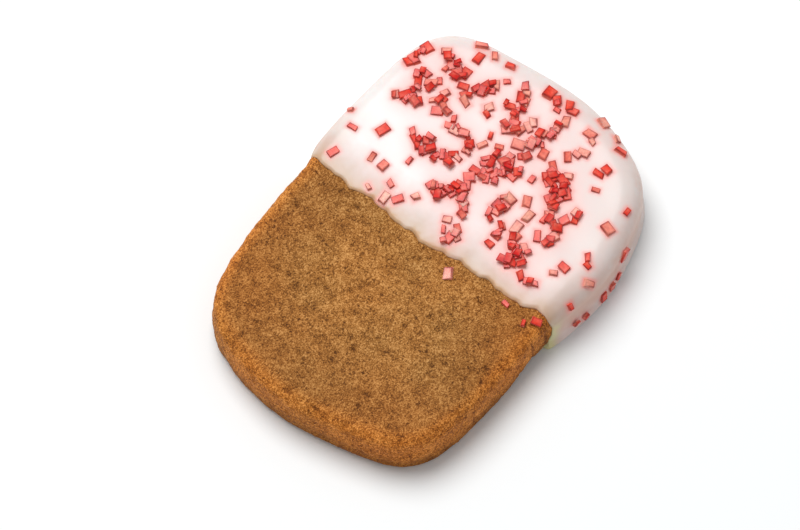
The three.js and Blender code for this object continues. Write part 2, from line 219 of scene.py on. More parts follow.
class GlazeSettings(bpy.types.PropertyGroup):
    """Sizes and colours of the glaze."""

    front_x: length_property("Front", "Mean place of the front of the glaze along the biscuit", 0.0006)
    front_lean: length_property("Front lean", "How much further it ran at the base than on top", 0.0016)
    top_thickness: length_property("Thickness on top", "Thickness of the glaze on the top", 0.0011)
    side_thickness: length_property("Side thickness", "Thickness on the side, well behind its front", 0.001)
    front_side_thickness: length_property("Side at front", "Thickness on the side near its front", 0.00055)
    foot: length_property("Foot", "How far the drained rim at the base bulges", 0.00035)
    shoulder_width: length_property("Shoulder width", "Width of the rounding round the top", 0.0046)
    shoulder_height: length_property("Shoulder height", "Height of the rounding round the top", 0.0034)
    bank_width: length_property("Bank width", "How far behind its front the glaze is fully thick", 0.006)
    white: colour_property("White", "Colour of the thick glaze", (0.85, 0.835, 0.82))
    # Blush also serves as the painted shade that darkens the glaze towards the -Y side.
    blush: colour_property("Blush", "Colour of the glaze some way behind its front", (0.72, 0.61, 0.57))
    cream: colour_property("Cream", "Colour of the thin glaze just behind its front", (0.6, 0.44, 0.325))
    fringe: colour_property("Fringe", "Colour of the thinnest glaze at its front", (0.56, 0.34, 0.175))
    seep: colour_property("Seep", "Colour where it ran down the side at its front", (0.7, 0.65, 0.33))
    # The halo is partly dye that ran from the sugar and partly painted red light that passes through the
    # crystals onto the glaze.
    halo: colour_property("Halo", "Colour that the sugar lends to the glaze beside it", (0.9, 0.36, 0.32))
    shoulder: colour_property("Shoulder", "Colour of thin glaze below the rounded edge", (0.66, 0.42, 0.33))
    wall: colour_property("Wall", "Colour of the glaze further down the sides", (0.8, 0.67, 0.63))


class SugarSettings(bpy.types.PropertyGroup):
    """Sizes and colours of the sugar crystals."""

    shortest: length_property("Shortest", "Length of the shortest crystals", 0.0012)
    longest: length_property("Longest", "Length of the longest crystals", 0.00225)
    edge_rounding: length_property("Edge rounding", "Width of the bevel along the edges", 0.00006)
    rim_share: FloatProperty(name="Rim", description="Darker rim, as a share of the width", default=0.21)
    stacked: IntProperty(name="Stacked", description="How many crystals lie on others", default=100)
    # Pale is also painted on each crystal's lower sides as light glowing through the sugar; rim is a painted
    # shade along its edges.
    pale: colour_property("Pale", "Colour of the clearest crystals", (0.95, 0.36, 0.27))
    salmon: colour_property("Salmon", "Colour of most crystals", (0.9, 0.066, 0.033))
    deep: colour_property("Deep", "Colour where crystals crowd", (0.7, 0.0, 0.004))
    rim: colour_property("Rim", "Colour of the edges", (0.3, 0.02, 0.02))


class StudioSettings(bpy.types.PropertyGroup):
    """The camera, the lights and the floor."""

    azimuth: angle_property("Azimuth", "Direction that the camera looks from", -51.5)
    elevation: angle_property("Elevation", "Height of the camera as an angle", 64)
    distance: length_property("Distance", "Distance from the camera to the biscuit", 2.0)
    frame_width: length_property("Frame width", "Width of what the camera sees at the biscuit", 0.11976)
    aside: length_property("Aside", "How far the frame's centre lies to the right of the origin", -0.00436)
    above: length_property("Above", "How far the frame's centre lies above the origin", 0.00015)
    key_watts: FloatProperty(name="Key light", description="Power of the main light", default=9.3)
    key_size: length_property("Key size", "Width of the main light", 0.8)
    sky: FloatProperty(name="Sky", description="Strength of the even light from all round", default=0.4)
    floor: colour_property("Floor", "Colour of the floor", (0.95, 0.97, 0.975))


def settings():
    """The four groups of settings, by name."""
    return bpy.context.scene.gingersnap


class GingersnapSettings(bpy.types.PropertyGroup):
    """All the settings of the gingersnap and its studio."""

    biscuit: PointerProperty(type=BiscuitSettings, name="Biscuit", description="The baked biscuit")
    glaze: PointerProperty(type=GlazeSettings, name="Glaze", description="The white glaze")
    sugar: PointerProperty(type=SugarSettings, name="Sugar", description="The sugar crystals")
    studio: PointerProperty(type=StudioSettings, name="Studio", description="Camera, lights and floor")


def mm(length):
    """A length from the sidebar in whole ten-thousandths of a millimetre."""
    return round(length / MM, 4)


def between(ends, share):
    """The value at a share of the way between two."""
    return ends[0] + (ends[1] - ends[0]) * share


def smoothstep(value, low, high):
    """0 below one value and 1 above another, with a smooth rise between them."""
    share = np.clip((value - low) / (high - low), 0.0, 1.0)
    return share * share * (3 - 2 * share)


def soft_min(a, b, rounding):
    """The smaller of two values, with a rounding where they cross."""
    return (a + b - np.hypot(a - b, rounding)) / 2


def quarter(share):
    """A quarter circle: from 0 steeply up to a level 1."""
    return np.sqrt(1 - (1 - np.clip(share, 0.0, 1.0)) ** 2)


def eased_quarter(share):
    """Like a quarter circle, but its bend fades out before it is level."""
    return np.sqrt(1 - (1 - np.clip(share, 0.0, 1.0)) ** 3)


class Form:
    """The gingersnap's form in millimetres, from the sizes in the sidebar."""

    def __init__(self):
        biscuit, glaze = settings().biscuit, settings().glaze
        self.half_length = mm(biscuit.half_length)
        self.half_width = mm(biscuit.half_width)
        self.corner_power = round(biscuit.corner_power, 4)
        self.thickness = mm(biscuit.thickness)
        self.top_rounding = mm(biscuit.top_rounding)
        self.base_rounding = mm(biscuit.base_rounding)
        self.front_x = mm(glaze.front_x)
        self.front_lean = mm(glaze.front_lean)
        self.glazed_height = self.thickness + mm(glaze.top_thickness)
        self.side = (mm(glaze.front_side_thickness), mm(glaze.side_thickness))
        self.foot = mm(glaze.foot)
        self.shoulder_width = mm(glaze.shoulder_width)
        self.shoulder_height = mm(glaze.shoulder_height)
        self.bank_width = mm(glaze.bank_width)

    def outline(self, angle):
        """The biscuit's outline: its distance from the origin in a direction."""
        long = np.abs(np.cos(angle)) / self.half_length
        wide = np.abs(np.sin(angle)) / self.half_width
        even = (long**self.corner_power + wide**self.corner_power) ** (-1 / self.corner_power)
        return even * (1 + sum(c * np.cos(n * angle) + s * np.sin(n * angle) for n, c, s in UNEVENNESS))

    def front(self, y, z):
        """Where the glaze ends along X: a wavy line that leans out down the sides."""
        wave = -0.8 * np.sin(1.87 - 0.092 * y) - 0.3 * np.sin(0.375 * y + 1.05)
        return self.front_x + wave - self.front_lean * (1 - z / self.glazed_height)

    def scalloped_front(self, y, z):
        """The front with the fine scallops of the real glaze."""
        across = y + SCALLOP_LEAN * z
        scallops = sum(high * np.sin(turns * across + start) for high, turns, start in SCALLOPS)
        return self.front(y, z) + scallops

    def inside_biscuit(self, x, y, grown=0.0):
        """How far a point lies inside the biscuit's outline, grown by some amount."""
        return self.outline(np.arctan2(y, x)) + grown - np.hypot(x, y)

    def inside_solid_glaze(self, x, y):
        """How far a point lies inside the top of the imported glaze."""
        side = self.side[0] + (self.side[1] - self.side[0]) * smoothstep(x, 0, FULL_SIDE_X)
        from_front = (x - self.front(y, self.glazed_height)) / PACKED_FRONT_SLOPE
        return soft_min(self.inside_biscuit(x, y, side), from_front, PACKED_FRONT_CORNER)

    def skin(self, x, y, z):
        """How thick the glaze is on the side: thin at its front, and full well behind it."""
        behind = x - self.scalloped_front(y, z)
        return (
            SKIN_AT_FRONT
            + (self.side[0] - SKIN_AT_FRONT) * smoothstep(behind, 0, SKIN_RUN)
            + (self.side[1] - self.side[0]) * smoothstep(x, 0, FULL_SIDE_X)
        )

    def inside_glaze(self, x, y, z):
        """How far a point lies inside the glazed half."""
        from_front = (x - self.scalloped_front(y, z)) / FRONT_SLOPE
        return soft_min(self.inside_biscuit(x, y, self.skin(x, y, z)), from_front, FRONT_CORNER)

    def baked_relief(self, x, y):
        """The gentle ups and downs of the baked top, which level out under the glaze."""
        broad = np.sin(0.21 * x + 0.6) * np.cos(0.27 * y - 0.4)
        small = np.sin(0.55 * x - 0.31 * y) + np.sin(0.47 * y + 0.38 * x + 1.3)
        return (1 - smoothstep(x, -2, 4)) * (0.12 * broad + 0.06 * small)

    def biscuit_top(self, x, y, grown=0.0):
        """The height of the biscuit's top over a point."""
        rounding = self.top_rounding + grown
        share = np.clip(self.inside_biscuit(x, y, grown) / rounding, 0.0, 1.0)
        return self.thickness + grown + rounding * (quarter(share) - 1) + share * self.baked_relief(x, y)

    def glaze_top(self, x, y):
        """The height of the glaze's top: a thin bank behind its front, then the level with its shoulder."""
        base = self.biscuit_top(x, y)
        inside = self.inside_biscuit(x, y, self.skin(x, y, base))
        crown = self.glazed_height - self.shoulder_height * (1 - eased_quarter(inside / self.shoulder_width))
        behind = x - self.scalloped_front(y, base)
        far_behind = x - self.front(y, base)
        bank = smoothstep(far_behind, BANK_START, self.bank_width)
        rise = STEP_SHARE * quarter(behind / STEP_WIDTH) + (1 - STEP_SHARE) * bank
        gathered = sum(
            high * np.exp(-((x - at_x) ** 2 + (y - at_y) ** 2) / radius**2)
            for at_x, at_y, radius, high in MOUNDS
        )
        swell = 0.05 * np.sin(0.31 * x + 0.4) * np.sin(0.27 * y + 1.0) + 0.03 * np.sin(0.7 * x - 0.5 * y)
        return base + (crown - base) * rise + (gathered + swell) * smoothstep(behind, 0.2, 1.5)


def arc(x, z, radius_x, radius_z, start, end, steps):
    """Points along a quarter ellipse about (x, z), from one angle to another in degrees."""
    angles = [math.radians(start + (end - start) * i / steps) for i in range(steps + 1)]
    return [(x + radius_x * math.cos(a), z + radius_z * math.sin(a)) for a in angles]


def rings(start, end, spacing, z):
    """Points of a profile at one height, from one radius to another."""
    steps = max(1, round(abs(end - start) / spacing))
    return [(start + (end - start) * i / steps, z) for i in range(steps + 1)]


def lathe(name, profile, segments):
    """A round blank turned from a profile that starts and ends on the axis."""
    bm = bmesh.new()
    verts = [bm.verts.new((radius, 0, z)) for radius, z in profile]
    edges = [bm.edges.new(pair) for pair in zip(verts, verts[1:])]
    bmesh.ops.spin(
        bm, geom=verts + edges, cent=(0, 0, 0), axis=(0, 0, 1), angle=math.tau, steps=segments, use_merge=True
    )
    bmesh.ops.remove_doubles(bm, verts=bm.verts, dist=1e-4)
    bmesh.ops.recalc_face_normals(bm, faces=bm.faces)
    mesh = bpy.data.meshes.new(name)
    bm.to_mesh(mesh)
    bm.free()
    return mesh


def points_of(mesh):
    points = np.empty(len(mesh.vertices) * 3)
    mesh.vertices.foreach_get("co", points)
    return points.reshape(-1, 3)


def place_points(mesh, points):
    mesh.vertices.foreach_set("co", np.ascontiguousarray(points, dtype=np.float32).ravel())
    mesh.update()


def normals_of(mesh):
    normals = np.empty(len(mesh.vertices) * 3, dtype=np.float32)
    mesh.vertex_normals.foreach_get("vector", normals)
    return normals.reshape(-1, 3).astype(float)


def pull(points, field, centre_x):
    """Pulls the points of a round blank out to the outline of a field about (centre_x, 0). A point in
    the rim keeps its distance from the edge, and further in the rings shrink evenly."""
    radius = np.hypot(points[:, 0], points[:, 1])
    turned = radius > 1e-6
    unit_x = np.where(turned, points[:, 0] / np.maximum(radius, 1e-6), 1.0)
    unit_y = np.where(turned, points[:, 1] / np.maximum(radius, 1e-6), 0.0)
    wanted = np.minimum(REFERENCE_RADIUS - radius, RIM)
    near = np.zeros_like(radius)
    far = np.full_like(radius, BEYOND_OUTLINE)
    for _ in range(PULL_STEPS):
        middle = (near + far) / 2
        beyond = field(centre_x + middle * unit_x, middle * unit_y, points[:, 2]) > wanted
        near = np.where(beyond, middle, near)
        far = np.where(beyond, far, middle)
    distance = near * np.minimum(radius / (REFERENCE_RADIUS - RIM), 1.0)
    return np.column_stack((centre_x + distance * unit_x, distance * unit_y, points[:, 2]))


def biscuit_blank(form, name, grown, segments, spacing):
    """The smooth biscuit in millimetres, grown on all sides by an amount."""
    radius = REFERENCE_RADIUS + grown
    base = form.base_rounding + grown
    top = form.top_rounding + grown
    high = form.thickness + grown
    profile = [
        *rings(0, radius - base, spacing, -grown),
        *arc(radius - base, base - grown, base, base, -90, 0, 5)[1:],
        (radius + WALL_BULGE, form.thickness * BULGE_HEIGHT),
        *arc(radius - top, high - top, top, top, 0, 90, 8),
        *rings(radius - top, 0, spacing, high)[1:],
    ]
    mesh = lathe(name, profile, segments)
    points = pull(points_of(mesh), lambda x, y, z: form.inside_biscuit(x, y), 0.0)
    x, y, z = points.T
    raised = UNDER_RISE * smoothstep(x, *UNDER_RAMP) * (1 - z / (high - top))
    points[:, 2] = np.where(z > high - top, form.biscuit_top(x, y, grown), z + raised)
    place_points(mesh, points)
    return mesh


def applied(mesh, name, *modifiers, covered=()):
    """The mesh that comes out of some modifiers: each is (kind, {setting: value}). The points that
    are covered form a vertex group."""
    piece = bpy.data.objects.new(name, mesh)
    bpy.context.scene.collection.objects.link(piece)
    if covered:
        piece.vertex_groups.new(name="covered").add(covered, 1.0, "REPLACE")
    for kind, values in modifiers:
        modifier = piece.modifiers.new(kind.title(), kind)
        for key, value in values.items():
            setattr(modifier, key, value)
    seen = bpy.context.evaluated_depsgraph_get()
    made = bpy.data.meshes.new_from_object(piece.evaluated_get(seen))
    bpy.data.objects.remove(piece)
    return made


def add_attribute(mesh, name, values):
    """Stores one number for each point of a mesh."""
    attribute = mesh.attributes.new(name, "FLOAT", "POINT")
    attribute.data.foreach_set("value", np.asarray(values, dtype=np.float32))


def add_colours(mesh, name, colours):
    """Stores a linear colour for each point of a mesh."""
    attribute = mesh.color_attributes.new(name, "FLOAT_COLOR", "POINT")
    full = np.column_stack((colours, np.ones(len(colours))))
    attribute.data.foreach_set("color", full.astype(np.float32).ravel())


def add_piece(name, mesh, material, nodes, smooth=True):
    """Puts a mesh in millimetres into the scene as a finished piece that stands for CAD nodes."""
    mesh.transform(Matrix.Scale(MM, 4))
    mesh.polygons.foreach_set("use_smooth", np.full(len(mesh.polygons), smooth))
    mesh.name = name
    mesh.materials.clear()
    mesh.materials.append(material)
    mesh.update()
    piece = bpy.data.objects.new(name, mesh)
    bpy.context.scene.collection.objects.link(piece)
    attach(piece, "root")
    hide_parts(*nodes)
    return piece


def noise_at(points, size, offset=0.0):
    """Smooth noise from -1 to 1 at each point, with bumps about as wide as size."""
    shift = Vector((offset, offset * 1.7, -offset))
    return np.array([noise.noise(Vector(p) / size + shift) for p in points])


def add_node(tree, kind, inputs=None, **values):
    """A shader node with its settings and inputs. An input is a number, a colour or a socket."""
    node = tree.nodes.new(kind)
    for key, value in values.items():
        setattr(node, key, value)
    for key, value in (inputs or {}).items():
        if isinstance(value, bpy.types.NodeSocket):
            tree.links.new(value, node.inputs[key])
        else:
            node.inputs[key].default_value = value
    return node


def mixed(tree, share, first, second, blend="MIX"):
    """The colour between two, by a share."""
    node = tree.nodes.new("ShaderNodeMix")
    node.data_type = "RGBA"
    node.blend_type = blend
    sockets = {socket.identifier: socket for socket in node.inputs}
    for key, value in (("Factor_Float", share), ("A_Color", first), ("B_Color", second)):
        if isinstance(value, bpy.types.NodeSocket):
            tree.links.new(value, sockets[key])
        elif isinstance(value, (int, float)):
            sockets[key].default_value = value
        else:
            sockets[key].default_value = (*value, 1.0)
    return {socket.identifier: socket for socket in node.outputs}["Result_Color"]


def maths(tree, operation, *values):
    """The result of a Math node."""
    node = tree.nodes.new("ShaderNodeMath")
    node.operation = operation
    for socket, value in zip(node.inputs, values):
        if isinstance(value, bpy.types.NodeSocket):
            tree.links.new(value, socket)
        else:
            socket.default_value = value
    return node.outputs[0]


def ranged(tree, value, low, high, to_low=0.0, to_high=1.0):
    """A value moved from one range to another, and kept in it."""
    inputs = {"Value": value, "From Min": low, "From Max": high, "To Min": to_low, "To Max": to_high}
    return add_node(tree, "ShaderNodeMapRange", inputs).outputs["Result"]


def noise_texture(tree, place, size, detail, roughness=0.5):
    """A noise pattern whose bumps are about as wide as size, in metres."""
    inputs = {"Vector": place, "Scale": 1 / size, "Detail": detail, "Roughness": roughness}
    return add_node(tree, "ShaderNodeTexNoise", inputs).outputs["Fac"]


def new_material(name):
    """An empty material with its node tree and its surface's output socket."""
    material = bpy.data.materials.new(name)
    material.use_nodes = True
    tree = material.node_tree
    tree.nodes.clear()
    output = tree.nodes.new("ShaderNodeOutputMaterial")
    return material, tree, output.inputs["Surface"]


def add_surface(tree, surface, finish):
    """Gives a material its surface, from the inputs of a Principled node."""
    principled = add_node(tree, "ShaderNodeBsdfPrincipled", finish)
    tree.links.new(principled.outputs["BSDF"], surface)


def crumb_material():
    """Dry sandy crumb: pale grains on a brown ground, darker in its pits by painted shade, golden at baked
    edges, and with painted shade near the floor.
    """
    look = settings().biscuit
    material, tree, surface = new_material("baked_crumb")
    place = add_node(tree, "ShaderNodeTexCoord").outputs["Object"]
    grain = noise_texture(tree, place, size=0.00021, detail=2, roughness=0.6)
    sand = add_node(tree, "ShaderNodeTexVoronoi", {"Vector": place, "Scale": 1 / 0.00036})
    sand_tone = add_node(tree, "ShaderNodeSeparateColor", {"Color": sand.outputs["Color"]}).outputs[0]
    specks = add_node(tree, "ShaderNodeTexVoronoi", {"Vector": place, "Scale": 1 / 0.0012})
    chosen = add_node(tree, "ShaderNodeSeparateColor", {"Color": specks.outputs["Color"]}).outputs[0]
    dark_speck = ranged(tree, specks.outputs["Distance"], low=0.24, high=0.1)
    dark_speck = maths(tree, "MULTIPLY", dark_speck, maths(tree, "GREATER_THAN", chosen, 0.62))
    blotch = noise_texture(tree, place, size=0.0026, detail=3, roughness=0.55)
    broad = noise_texture(tree, place, size=0.011, detail=2)
    pit = add_node(tree, "ShaderNodeAttribute", attribute_name="pit").outputs["Fac"]
    lump = add_node(tree, "ShaderNodeAttribute", attribute_name="lump").outputs["Fac"]

    tone = 0.5
    for pattern, share in ((grain, 2.0), (sand_tone, 0.32), (blotch, 0.5)):
        tone = maths(tree, "MULTIPLY_ADD", maths(tree, "SUBTRACT", pattern, 0.5), share, tone)
    # The pits are darkened as a painted shade in those hollows.
    for pattern, share in ((lump, 0.1), (pit, -0.4), (dark_speck, -0.3)):
        tone = maths(tree, "MULTIPLY_ADD", pattern, share, tone)

    ramp = add_node(tree, "ShaderNodeValToRGB", {"Fac": tone})
    stops = ramp.color_ramp.elements
    stops[0].position = 0.05
    stops[0].color = (*look.dark_crumb, 1)
    stops[1].position = 1.0
    stops[1].color = (*look.light_crumb, 1)
    middle = stops.new(0.5)
    middle.color = (*look.crumb, 1)
    coloured = ramp.outputs["Color"]
    # Of these three, the foot tint is painted shade that darkens the crumb near the floor.
    for name, tint in (("ring", look.ring_tint), ("edge", look.edge_tint), ("foot", look.foot_shade_tint)):
        share = add_node(tree, "ShaderNodeAttribute", attribute_name=name).outputs["Fac"]
        baked = mixed(tree, share, (1.0, 1.0, 1.0), tuple(tint))
        coloured = mixed(tree, 1.0, coloured, baked, "MULTIPLY")
    patches = ranged(tree, broad, low=0.35, high=0.65)
    warmth = mixed(tree, patches, (1.04, 0.97, 0.9), (0.97, 1.0, 1.06))
    coloured = mixed(tree, 1.0, coloured, warmth, "MULTIPLY")

    height = maths(tree, "MULTIPLY_ADD", sand.outputs["Distance"], -0.35, grain)
    bump = add_node(tree, "ShaderNodeBump", {"Height": height, "Strength": 0.6, "Distance": 0.00018})
    finish = {"Roughness": 0.72, "Specular IOR Level": 0.2, "Normal": bump.outputs["Normal"]}
    add_surface(tree, surface, {"Base Color": coloured, **finish})
    return material


def glaze_material():
    """Set sugar glaze: white and softly glossy, tinted where it is thin and beside the sugar."""
    material, tree, surface = new_material("white_glaze")
    place = add_node(tree, "ShaderNodeTexCoord").outputs["Object"]
    tint = add_node(tree, "ShaderNodeAttribute", attribute_name="glaze_colour").outputs["Color"]
    ripple = noise_texture(tree, place, size=0.0016, detail=2)
    bump = add_node(tree, "ShaderNodeBump", {"Height": ripple, "Strength": 0.12, "Distance": 0.0002})
    finish = {
        "Base Color": tint,
        "Roughness": 0.32,
        "Specular IOR Level": 0.4,
        "Subsurface Weight": 0.35,
        "Subsurface Radius": (1.0, 0.62, 0.5),
        "Subsurface Scale": 0.0006,
        "Coat Weight": 0.15,
        "Coat Roughness": 0.12,
        "Normal": bump.outputs["Normal"],
    }
    add_surface(tree, surface, finish)
    return material


def sugar_material():
    """Translucent red sugar: each crystal paler at its middle than along its edges, by painted light and
    shade in its colours.
    """
    material, tree, surface = new_material("red_sugar")
    place = add_node(tree, "ShaderNodeTexCoord").outputs["Object"]
    tone = add_node(tree, "ShaderNodeAttribute", attribute_name="sugar_colour").outputs["Color"]
    cloud = noise_texture(tree, place, size=0.0005, detail=2)
    clear = ranged(tree, cloud, low=0.35, high=0.7)
    shade = mixed(tree, clear, (0.86, 0.8, 0.8), (1.06, 1.14, 1.12))
    coloured = mixed(tree, 1.0, tone, shade, "MULTIPLY")
    finish = {
        "Base Color": coloured,
        "Roughness": 0.22,
        "Specular IOR Level": 0.32,
        "Subsurface Weight": 0.3,
        "Subsurface Radius": (1.0, 0.25, 0.2),
        "Subsurface Scale": 0.0004,
    }
    add_surface(tree, surface, finish)
    return material


class GINGERSNAP_OT_biscuit(bpy.types.Operator):
    """Build the baked biscuit with its crumb"""

    bl_idname = "gingersnap.biscuit"
    bl_label = "Biscuit"

    def execute(self, context):
        look = context.scene.gingersnap.biscuit
        form = Form()
        blank = biscuit_blank(form, "biscuit_blank", grown=0.0, segments=300, spacing=0.9)
        even = applied(blank, "blank", ("REMESH", {"mode": "VOXEL", "voxel_size": mm(look.mesh_spacing)}))
        points = points_of(even)
        behind = points[:, 0] - form.front(points[:, 1], points[:, 2])
        covered = np.flatnonzero((behind > HIDDEN_BEHIND) | (points[:, 2] < HIDDEN_BELOW)).tolist()
        # The factor is the most there is, so that covered triangles go first.
        thin = {"ratio": KEPT_TRIANGLES, "vertex_group": "covered", "vertex_group_factor": 1000}
        mesh = applied(even, "even", ("DECIMATE", thin), covered=covered)
        self.raise_crumb(mesh, form, mm(look.grain_height))
        add_piece("biscuit_crumb", mesh, crumb_material(), ["biscuit"])
        return {"FINISHED"}

    @staticmethod
    def raise_crumb(mesh, form, grain_height):
        """Moves the bare surface in and out: lumps, grains and scattered pits."""
        points = points_of(mesh)
        normals = normals_of(mesh)
        x, y, z = points.T
        behind = x - form.front(y, z)
        bare = (1 - smoothstep(behind, 0.5, 2.0)) * smoothstep(z, 0.0, 0.6)
        crumb = np.flatnonzero(bare > 0)
        here = points[crumb]
        rough = 1 - 0.6 * smoothstep(behind[crumb], -1.5, 0.3)
        lump = noise_at(here, LUMP_WIDTH)
        grains = sum(share * noise_at(here, width, offset) for share, width, offset in GRAINS)
        chance = random.Random(PIT_SEED)
        pit = np.zeros(len(here))
        for _ in range(PIT_COUNT):
            at_x, at_y = (chance.uniform(*reach) for reach in PIT_REACH)
            wide = chance.uniform(*PIT_RADIUS)
            near = np.hypot(here[:, 0] - at_x, (here[:, 1] - at_y) * chance.uniform(0.6, 1.0)) / wide
            pit = np.maximum(pit, np.exp(-(near**2)) * chance.uniform(0.3, 1.0))
        move = rough * (LUMP_HEIGHT * (lump - 0.6) + grain_height * (grains - 0.6) - PIT_DEPTH * pit)
        inside = form.inside_biscuit(x, y)
        side = np.maximum(1 - smoothstep(inside, 0.3, 3.6), 1 - smoothstep(z, 4, 7.5))
        coarse = sum(high * (noise_at(here, width, offset) - 0.5) for high, width, offset in SIDE_RELIEF)
        move += side[crumb] * coarse
        points[crumb] += normals[crumb] * (bare[crumb] * move)[:, None]
        points[:, 2] = np.maximum(points[:, 2], 0.0)
        place_points(mesh, points)
        # The pit share also darkens the colour there, as a painted shade.
        for name, value in (("lump", lump), ("pit", pit)):
            full = np.zeros(len(points))
            full[crumb] = value
            add_attribute(mesh, name, full)
        add_attribute(mesh, "ring", 1 - smoothstep(inside, 3, 17))
        add_attribute(mesh, "edge", side)
        # Painted shade: how near the floor each point is, for the foot tint that darkens the crumb there.
        add_attribute(mesh, "foot", 1 - smoothstep(z, 0.8, 5))


class GINGERSNAP_OT_glaze(bpy.types.Operator):
    """Build the glaze over the dipped half"""

    bl_idname = "gingersnap.glaze"
    bl_label = "Glaze"

    def execute(self, context):
        form = Form()
        slab = self.slab(form)
        core = biscuit_blank(form, "glaze_core", grown=-GLAZE_OVERLAP, segments=260, spacing=1.1)
        cutter = bpy.data.objects.new("cutter", core)
        context.scene.collection.objects.link(cutter)
        mesh = applied(
            slab, "slab", ("BOOLEAN", {"operation": "DIFFERENCE", "object": cutter, "solver": "MANIFOLD"})
        )
        bpy.data.objects.remove(cutter)
        self.remove_fins(mesh)
        add_colours(mesh, "glaze_colour", self.colours(points_of(mesh), form))
        add_piece("glaze_coat", mesh, glaze_material(), ["glaze"])
        return {"FINISHED"}

    @staticmethod
    def remove_fins(mesh):
        """Takes out the tiny triangles that lie back to back where the cut only grazed the slab."""
        bm = bmesh.new()
        bm.from_mesh(mesh)
        bmesh.ops.triangulate(bm, faces=bm.faces)
        faces_at = {}
        for face in bm.faces:
            corners = frozenset(tuple(round(value, 4) for value in vert.co) for vert in face.verts)
            faces_at.setdefault(corners, []).append(face)
        fins = [face for faces in faces_at.values() if len(faces) > 1 for face in faces]
        bmesh.ops.delete(bm, geom=fins, context="FACES")
        bmesh.ops.remove_doubles(bm, verts=bm.verts, dist=1e-4)
        bm.to_mesh(mesh)
        bm.free()

    @staticmethod
    def slab(form):
        """The glaze as a full slab round the dipped half, in millimetres."""
        shoulder_base = form.glazed_height - form.shoulder_height
        shoulder_x = REFERENCE_RADIUS - form.shoulder_width
        rim_x = REFERENCE_RADIUS + form.foot - DRAINED_RIM
        profile = [
            *rings(0, rim_x, 1.2, 0.0),
            *arc(rim_x, DRAINED_RIM, DRAINED_RIM, DRAINED_RIM, -90, 30, 7)[1:],
            *((REFERENCE_RADIUS, WALL_START + WALL_STEP * i) for i in range(WALL_ROWS)),
            *arc(shoulder_x, shoulder_base, form.shoulder_width, form.shoulder_height, 0, 90, 16),
            *rings(shoulder_x, 0, 0.27, form.glazed_height)[1:],
        ]
        mesh = lathe("glaze_slab", profile, segments=540)
        upper = points_of(mesh)[:, 2] > shoulder_base + 0.01

        def inside(x, y, z):
            """Where the glaze lies on the top, its front follows the height of the biscuit's top."""
            return form.inside_glaze(x, y, np.where(upper, form.biscuit_top(x, y), z))

        points = pull(points_of(mesh), inside, form.half_length / 2)
        x, y, z = points.T
        points[:, 2] = np.where(upper, form.glaze_top(x, y), z)
        place_points(mesh, points)
        return mesh

    @staticmethod
    def colours(points, form):
        """The glaze's colour at each point: its tints, a painted shade towards the -Y side, and the halo of
        each crystal near by, which is partly dye from the sugar and partly painted red light through it.
        """
        look = settings().glaze
        x, y, z = points.T
        uneven = 0.5 * noise_at(points, 1.8, 5.1) + 0.35 * noise_at(points, 0.7, 9.4)
        behind = x - form.scalloped_front(y, z) + uneven
        tints = (look.fringe, look.cream, look.blush, look.white)
        colours = np.column_stack([np.interp(behind, TINT_DEPTHS, levels) for levels in zip(*tints)])

        def blend(colour, share):
            colours[:] += (np.array(colour) - colours) * share[:, None]

        thick = smoothstep(behind, 0.5, 3)
        side = 1 - smoothstep(form.inside_biscuit(x, y), 1.5, 5)
        # Painted shade: the glaze is blushed darker towards the -Y side, away from the key light.
        blend(look.blush, 0.7 * thick * (1 - smoothstep(y + 2 * uneven, -24, 8)))
        blend(look.blush, 0.3 * smoothstep(x, 8, 30))
        blend(look.cream, 0.3 * side * (1 - smoothstep(x, 4, 14)))
        blend(look.seep, 0.9 * (1 - smoothstep(behind, 0.5, 3.6)) * (1 - smoothstep(z, 4, 7.5)))
        blend(look.shoulder, thick * side * (1 - smoothstep(z + uneven, 5.6, 9.2)))
        blend(look.wall, thick * (1 - smoothstep(z + 1.5 * uneven, 0.2, 5.6)))
        # Each crystal's halo: partly dye from the sugar, partly painted red light passing through the
        # crystal.
        for crystal in crystals(form):
            near = np.flatnonzero(np.linalg.norm(points - crystal["centre"], axis=1) < HALO_REACH)
            local = (points[near] - crystal["centre"]) @ np.array(crystal["turn"])
            size = np.array(crystal["size"]) / 2
            gap = np.linalg.norm(np.maximum(np.abs(local) - size, 0), axis=1)
            share = sum(most * np.exp(-((gap / width) ** power)) for most, width, power in HALO)
            colours[near] += (np.array(look.halo) - colours[near]) * share[:, None]
        return colours


def make_draw(seed):
    """A repeatable draw between 0 and 1, the same as the solids use."""
    state = seed

    def draw():
        nonlocal state
        state = (state * 16807) % 2147483647
        return state / 2147483647

    return draw


def top_places(form, draw):
    """The places of the crystals on the glazed top: the strays, then each row in turn."""
    places = [Vector(place) for place in STRAYS]
    for x1, y1, x2, y2, spread, count in ROWS:
        start, run = Vector((x1, y1)), Vector((x2 - x1, y2 - y1))
        across = Vector((-run.y, run.x)).normalized()
        for i in range(count):
            place = start + run * ((i + between(CRYSTAL_SLACK, draw())) / count)
            place += across * (spread * (2 * draw() - 1))
            free = all((other - place).length > CRYSTAL_SPACING for other in places)
            if free and form.inside_solid_glaze(place.x, place.y) > EDGE_MARGIN:
                places.append(place)
    return places


def seat_on_top(top_at, x, y):
    """A point of a surface with the direction that faces out there."""
    step = 0.2
    slope_x = (top_at(x + step, y) - top_at(x - step, y)) / (2 * step)
    slope_y = (top_at(x, y + step) - top_at(x, y - step)) / (2 * step)
    return Vector((x, y, top_at(x, y))), Vector((-slope_x, -slope_y, 1)).normalized()


def seat_on_side(form, degrees, z):
    """A seat on the glaze's side."""
    angle = math.radians(degrees)

    def at(turn):
        radius = form.outline(angle + turn) + form.side[1]
        return Vector((radius * math.cos(angle + turn), radius * math.sin(angle + turn), z))

    along = at(0.02) - at(-0.02)
    return at(0), Vector((along.y, -along.x, 0)).normalized()


